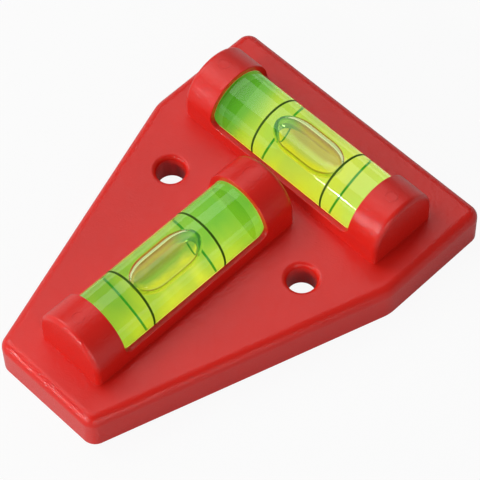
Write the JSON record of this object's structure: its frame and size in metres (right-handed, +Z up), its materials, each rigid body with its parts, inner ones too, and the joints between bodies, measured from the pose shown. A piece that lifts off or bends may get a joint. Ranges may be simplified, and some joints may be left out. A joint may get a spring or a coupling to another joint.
{
  "type": "cross spirit level",
  "caption": "Screw-on surface level: a tapered moulded plate holding two tubular bubble vials at right angles.",
  "frame": {"origin": "on the underside, in the middle of the plate's length and width", "axes": "+X along the cross vial, +Y from the narrow nose to the wide back edge along the long vial, +Z up from the underside to the vials"},
  "size_m": [0.0498, 0.0666, 0.0152],
  "materials": {
    "housing": "satin moulded",
    "vial_barrel": "clear polished",
    "vial_plug": "clear polished",
    "vial_liquid": "clear liquid",
    "vial_bubble": "clear",
    "level_line": "matte"
  },
  "bodies": {
    "housing": {"housing": "housing", "cross_vial_barrel": "vial_barrel", "cross_vial_plug": "vial_plug", "cross_vial_liquid": "vial_liquid", "cross_level_line_left": "level_line", "cross_level_line_right": "level_line", "long_vial_barrel": "vial_barrel", "long_vial_plug": "vial_plug", "long_vial_liquid": "vial_liquid", "long_level_line_back": "level_line", "long_level_line_front": "level_line"},
    "cross_bubble": {"cross_vial_bubble": "vial_bubble"},
    "long_bubble": {"long_vial_bubble": "vial_bubble"}
  },
  "joints": [
    {"name": "cross_bubble_slide", "type": "slide", "parent": "housing", "child": "cross_bubble", "axis": [1, 0, 0], "range_m": [-0.0075, 0.0075], "stiffness_N_per_m": 4, "deforming": ["cross_vial_liquid"]},
    {"name": "long_bubble_slide", "type": "slide", "parent": "housing", "child": "long_bubble", "axis": [0, 1, 0], "range_m": [-0.0075, 0.0075], "stiffness_N_per_m": 4, "deforming": ["long_vial_liquid"]}
  ]
}
